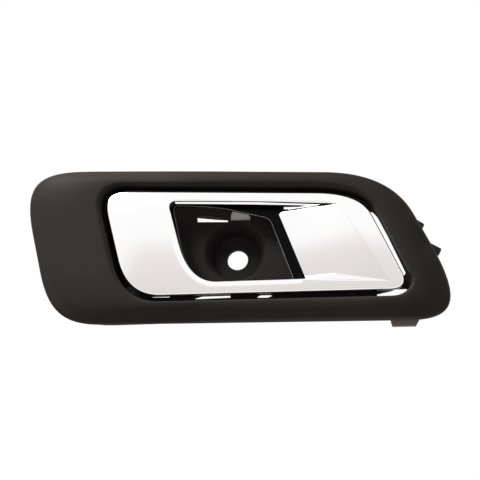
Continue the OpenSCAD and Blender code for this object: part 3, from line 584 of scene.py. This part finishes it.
def lever_skin():
    """Shell with a rounded rim, a skirt, the window's rolled edge and the two faces."""
    top, skirt = [], []
    for a in np.radians(np.linspace(0, 90, 10)):
        loop = grown(lever_line, -EDGE * (1 - math.cos(a)))
        top.append(at(loop, face_height(loop) - EDGE * (1 - math.sin(a))))
    inner = grown(lever_line, -SHELL_WALL)
    for inset, down in ((0, 0.35), (0.2, 0.6), (0.7, 1.0)):
        skirt.append(at(grown(lever_line, -inset), FACE_Z - down * SKIRT))
    rim = [at(inner, FACE_Z - SKIRT), at(inner, face_height(inner) - SHELL_WALL)]
    outside = loft(rim[::-1] + skirt[::-1] + top)
    brow = []
    for a in np.radians(np.linspace(90, 0, 6)):
        loop = grown(window_line, BROW * (1 - math.cos(a)))
        brow.append(at(loop, face_height(loop) - BROW * (1 - math.sin(a))))
    bottom = np.minimum(FACE_Z - WINDOW_DEPTH, face_height(window_line) - SHELL_WALL)
    ring = grown(window_line, 0.7)
    brow += [at(window_line, bottom), at(ring, bottom),
             at(ring, np.maximum(face_height(ring) - SHELL_WALL, bottom + 0.02))]
    window = loft(brow)
    front = sheet_mesh(grown(lever_line, -EDGE), grown(window_line, BROW), grid, face_height)
    back = sheet_mesh(inner, ring, lever_points(2.5), lambda p: face_height(p) - SHELL_WALL)
    return join(outside, window, front, back)


def true_normals(obj, height):
    """Gives the faces on a height field the field's own normals."""
    step = 0.03
    mesh = obj.data
    n = len(mesh.vertices)
    co = np.empty(n * 3)
    mesh.vertices.foreach_get("co", co)
    co = co.reshape(-1, 3) * MM
    p, z = co[:, [0, 2]], -co[:, 1]
    on = np.abs(z - height(p)) < 0.001
    gx = (height(p + (step, 0)) - height(p - (step, 0))) / (2 * step)
    gy = (height(p + (0, step)) - height(p - (0, step))) / (2 * step)
    field = np.column_stack([-gx, -np.ones(n), -gy])
    field /= np.linalg.norm(field, axis=1)[:, None]
    corner = np.empty(len(mesh.loops) * 3)
    mesh.corner_normals.foreach_get("vector", corner)
    corner = corner.reshape(-1, 3)
    for face in mesh.polygons:
        ids = list(face.vertices)
        if face.normal[1] < -0.15 and on[ids].all():
            corner[face.loop_start:face.loop_start + face.loop_total] = field[ids]
    mesh.normals_split_custom_set(corner.tolist())


lever = piece("lever_skin", *lever_skin(), "lever", "lever_shell", "chrome", 50.0, MAT["chrome"])
true_normals(lever, face_height)


def loft_open(rows):
    """Tube whose section runs through the rows, closed at both ends."""
    n, m = len(rows[0]), len(rows)
    verts = np.concatenate(rows)
    faces = [(j * n + i, j * n + i + 1, (j + 1) % m * n + i + 1, (j + 1) % m * n + i)
             for j in range(m) for i in range(n - 1)]
    faces += [tuple(j * n for j in range(m)), tuple(j * n + n - 1 for j in range(m))]
    return verts, faces


# Bright plate that leans in the slit above the dish, split from the left, and a black strip
# in the gap between it and the slit's upper edge, a painted shadow standing in for the shade in
# that gap

PLATE_Z, PLATE_LEAN, SHADOW_STRIP_Z = 36.55, 0.95, 37.6
SLIT_KNOTS = ((-29.0, 20.05), (9.5, 18.92), (50.6, 16.5))
# Edges of the plate's long left part, its right tip and its prong, and the width of the black
# strip of painted shadow in the gap
LEFT_LOW = ((-26, 19.28), (-14.4, 18.87), (9.3, 17.95), (24.6, 17.22), (32.4, 16.82),
            (35.3, 16.40))
RIGHT_LOW = ((35.3, 15.5), (38, 15.8), (40, 16.0), (40.8, 16.3), (41.7, 16.5), (44, 16.6))
PRONG_TOP = ((24.85, 16.35), (32.84, 16.21), (35.3, 16.3))
PRONG_LOW = ((24.85, 15.54), (27.8, 15.5), (30.6, 15.72), (32.3, 15.75), (33.4, 15.5),
             (35.3, 15.5))
SHADOW_STRIP_WIDTH = ((8, 0.0), (9.3, 0.05), (14, 0.15), (18.6, 0.22), (24.6, 0.30), (33, 0.38),
             (41.7, 0.47), (43.5, 0.75), (44.6, 1.0), (50.6, 0.4))


def slit_line(x):
    """The slit's upper edge carried on past its ends."""
    return np.interp(x, *zip(*SLIT_KNOTS)) - 0.12 * np.exp(-((x - 9.5) / 14) ** 2)


def strip(xs, top, low, front, back=0.5):
    """Solid strip between two edges along the door; front gives its height at a place."""
    xs = np.asarray(xs, float)
    rows = []
    for y, down in ((top, 0), (low, 0), (low, back), (top, back)):
        y = np.broadcast_to(y, xs.shape)
        rows.append(np.column_stack([xs, y, front(xs, y) - down]))
    return loft_open(rows)


def knots(xs, pairs):
    """Straight runs between pairs of place and value."""
    return np.interp(xs, *zip(*pairs))


def leaning(x, y):
    return PLATE_Z - PLATE_LEAN * (slit_line(x) - y)


def level(x, y):
    return np.full(x.shape, SHADOW_STRIP_Z)


left, right = np.linspace(-25.6, 35.3, 60), np.linspace(35.25, 44.0, 24)
prong, dark = np.linspace(24.85, 35.3, 20), np.linspace(8.0, 50.2, 60)
piece("slit_plate", *join(
    strip(left, slit_line(left) + 0.02, knots(left, LEFT_LOW), leaning),
    strip(right, slit_line(right) + 0.02, knots(right, RIGHT_LOW), leaning),
    strip(prong, knots(prong, PRONG_TOP), knots(prong, PRONG_LOW), leaning)),
      "lever", None, "chrome", 30.0, MAT["chrome"])
# Painted shadow: a black strip at the slit's upper edge stands in for the shade in the gap
piece("slit_painted_shadow", *strip(
    dark, slit_line(dark) + 0.03, slit_line(dark) - knots(dark, SHADOW_STRIP_WIDTH), level, 0.4),
      "lever", None, "carrier", 30.0, MAT["carrier"])

# Fine rim round the carrier's own window, in pale grey metal as a painted highlight along the
# carrier's edge

carrier_line = outline(sized(CARRIER_ROWS, LEVER_W, LEVER_H), 16, 10)


def bead(line, z, radius, sides=10):
    """Round bead along a loop."""
    m = normals(line)
    loops = []
    for a in np.radians(np.arange(sides) * 360 / sides):
        loops.append(at(line + m * radius * math.cos(a), z + radius * math.sin(a)))
    return loft(loops, closed=True)


piece("carrier_rim_painted_highlight", *bead(carrier_line, CARRIER_Z + LEDGE, 0.12), "lever", None,
      "carrier", 60.0, MAT["rim"])

# Camera

SCENE = bpy.context.scene
cam = bpy.data.objects.new("camera", bpy.data.cameras.new("camera"))
SCENE.collection.objects.link(cam)
cam.location = (0.082045, -0.772460, -0.197458)
aim = Vector((0.001271, -0.003952, 0.009597)) - cam.location
cam.rotation_mode = "QUATERNION"
cam.rotation_quaternion = aim.to_track_quat("-Z", "Y")
cam.data.sensor_width = 36.0
cam.data.lens = 125.0
cam.data.clip_start, cam.data.clip_end = 0.01, 50.0
SCENE.camera = cam
SCENE.view_settings.view_transform = "Standard"


# Light and surroundings

def area(name, place, side, power, target=(0.0, -0.03, 0.0)):
    """Soft square lamp that faces a target."""
    lamp = bpy.data.lights.new(name, "AREA")
    lamp.shape = "SQUARE"
    lamp.size = side
    lamp.energy = power
    obj = bpy.data.objects.new(name, lamp)
    obj.location = place
    obj.rotation_mode = "QUATERNION"
    obj.rotation_quaternion = (Vector(target) - Vector(place)).to_track_quat("-Z", "Y")
    SCENE.collection.objects.link(obj)
    return obj


key = area("key_light", (-0.22, -0.15, 0.28), 0.12, 2.05, (-0.06, -0.04, 0.0))
key.visible_camera = False
area("fill_light", (-0.45, -1.0, 0.65), 0.35, 8.0)


def stage_piece(name, verts, faces, build):
    """Piece of the surroundings, in metres."""
    mesh = bpy.data.meshes.new(name)
    mesh.from_pydata([tuple(map(float, v)) for v in verts], [], faces)
    mesh.materials.append(material(name, build))
    obj = bpy.data.objects.new(name, mesh)
    SCENE.collection.objects.link(obj)
    return obj


def floor_look(nodes, links, bsdf):
    """Plain pale floor."""
    slow = noise(nodes, links, 1.5, 2.0)
    links.new(ramp(nodes, links, slow, [(0.3, (0.80, 0.80, 0.79)), (0.7, (0.84, 0.84, 0.83))]),
              bsdf.inputs["Base Color"])
    bsdf.inputs["Roughness"].default_value = 0.8


def card_look(nodes, links, bsdf):
    """Light grey card that only shows in reflections, soft at its upper edge."""
    up = nodes.new("ShaderNodeAttribute")
    up.attribute_name = "rise"
    glow = nodes.new("ShaderNodeEmission")
    links.new(ramp(nodes, links, up.outputs["Fac"],
                   [(0.0, (0.64, 0.61, 0.59)), (0.55, (0.735, 0.71, 0.685)),
                    (0.84, (0.82, 0.79, 0.775)), (1.0, (1, 1, 1))]), glow.inputs["Color"])
    links.new(glow.outputs[0], nodes["Material Output"].inputs["Surface"])


FLOOR_HALF, FLOOR_DEPTH = 4.0, 1.2
floor = stage_piece("floor", [(x * FLOOR_HALF, y * FLOOR_HALF, -FLOOR_DEPTH)
                              for x, y in ((-1, -1), (1, -1), (1, 1), (-1, 1))],
                    [(0, 1, 2, 3)], floor_look)
floor.visible_glossy = False
# The card stands round the object at this distance. Its upper edge falls to the left at
# CARD_SLOPE, apart from a step up where neither face of the lever mirrors it. In degrees.
CARD_R, CARD_ROWS = 3.0, 9
CARD_LOW, CARD_TOP, CARD_SLOPE = -4, 15.8, 0.59
turns = np.linspace(-42, 3, 91)
edge = CARD_TOP - CARD_SLOPE * np.clip(-turns - 1.7, 0, 18)
edge = np.where((turns < -7.2) & (turns > -10.6), CARD_TOP, edge)
card_points, rise = [], []
for k in range(CARD_ROWS):
    share = k / (CARD_ROWS - 1)
    for az, top_el in zip(np.radians(turns), np.radians(edge)):
        el = math.radians(CARD_LOW) + share * (top_el - math.radians(CARD_LOW))
        card_points.append((CARD_R * math.sin(az), -CARD_R * math.cos(az), CARD_R * math.tan(el)))
        lift = 0.3 * float(ease(-math.degrees(az), 11, 17))
        lift += 0.4 * float(ease(-math.degrees(az), 18.3, 20.5))
        rise.append(share + lift * (1 - share))
n = len(turns)
card = stage_piece("grey_card", card_points,
                   [(k * n + i, k * n + i + 1, k * n + n + i + 1, k * n + n + i)
                    for k in range(CARD_ROWS - 1) for i in range(n - 1)], card_look)
card.data.attributes.new("rise", "FLOAT", "POINT").data.foreach_set("value", rise)
card.visible_camera = card.visible_diffuse = card.visible_shadow = False
card.visible_transmission = False

# Even light all round, and plain white where the camera or a mirror sees past the object
world = bpy.data.worlds.new("studio")
SCENE.world = world
world.use_nodes = True
wn, wl = world.node_tree.nodes, world.node_tree.links
path = wn.new("ShaderNodeLightPath")
seen = wn.new("ShaderNodeMath")
seen.operation = "MAXIMUM"
seen_all = wn.new("ShaderNodeMath")
seen_all.operation = "MAXIMUM"
wl.new(path.outputs["Is Camera Ray"], seen.inputs[0])
wl.new(path.outputs["Is Glossy Ray"], seen.inputs[1])
wl.new(seen.outputs[0], seen_all.inputs[0])
wl.new(path.outputs["Is Transmission Ray"], seen_all.inputs[1])
light = wn.new("ShaderNodeBackground")
light.inputs["Color"].default_value = (1, 1, 1, 1)
light.inputs["Strength"].default_value = 0.45
white = wn.new("ShaderNodeBackground")
white.inputs["Color"].default_value = (1, 1, 1, 1)
white.inputs["Strength"].default_value = 1.0
mix = wn.new("ShaderNodeMixShader")
wl.new(seen_all.outputs[0], mix.inputs["Fac"])
wl.new(light.outputs[0], mix.inputs[1])
wl.new(white.outputs[0], mix.inputs[2])
wl.new(mix.outputs[0], wn["World Output"].inputs["Surface"])
